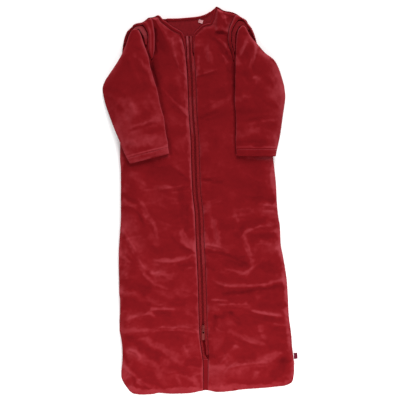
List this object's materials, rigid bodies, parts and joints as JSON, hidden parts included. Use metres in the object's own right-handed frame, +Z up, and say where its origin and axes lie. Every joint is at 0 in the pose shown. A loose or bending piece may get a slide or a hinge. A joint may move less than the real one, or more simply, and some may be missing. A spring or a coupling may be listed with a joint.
{
  "type": "sleep sack",
  "caption": "Padded velour baby sleep sack with a front zip and long zipped-in sleeves, lying flat on its back with the sleeves folded down over the front.",
  "frame": {"origin": "middle of the underside, on the surface that the sack lies on", "axes": "+X to the right as seen from above with the neck up, +Y from the hem to the neck, +Z up from the back to the front"},
  "size_m": [0.4533, 0.9009, 0.0403],
  "materials": {
    "velour": "dark red cotton velour with a soft short nap",
    "lining": "dark red plain jersey",
    "tape": "dark red woven zip tape",
    "teeth": "dark red coil",
    "slider": "dark red lacquer",
    "tag": "white satin ribbon",
    "label": "dark plum woven ribbon"
  },
  "bodies": {
    "garment": {"back_panel": "velour", "front_panel_left": "velour", "front_panel_right": "velour", "back_neck_lining": "lining", "neck_binding_back": "velour", "neck_binding_left": "velour", "neck_binding_right": "velour", "armhole_rim_left": "velour", "armhole_rim_right": "velour", "armhole_tape_left": "tape", "armhole_tape_right": "tape", "sleeve_left": "velour", "sleeve_right": "velour", "cuff_left": "velour", "cuff_right": "velour", "zip_tape_left": "tape", "zip_tape_right": "tape", "zip_chain": "teeth", "zip_end_strip": "velour", "zip_slider": "slider", "size_tag": "tag", "side_label": "label"},
    "pull_tab": {"zip_pull_tab": "slider"}
  },
  "joints": [
    {"name": "pull_tab_lift", "type": "hinge", "parent": "garment", "child": "pull_tab", "pos_m": [0.0081, -0.2992, 0.0208], "axis": [-1, 0, 0], "range_deg": [0, 150]}
  ]
}
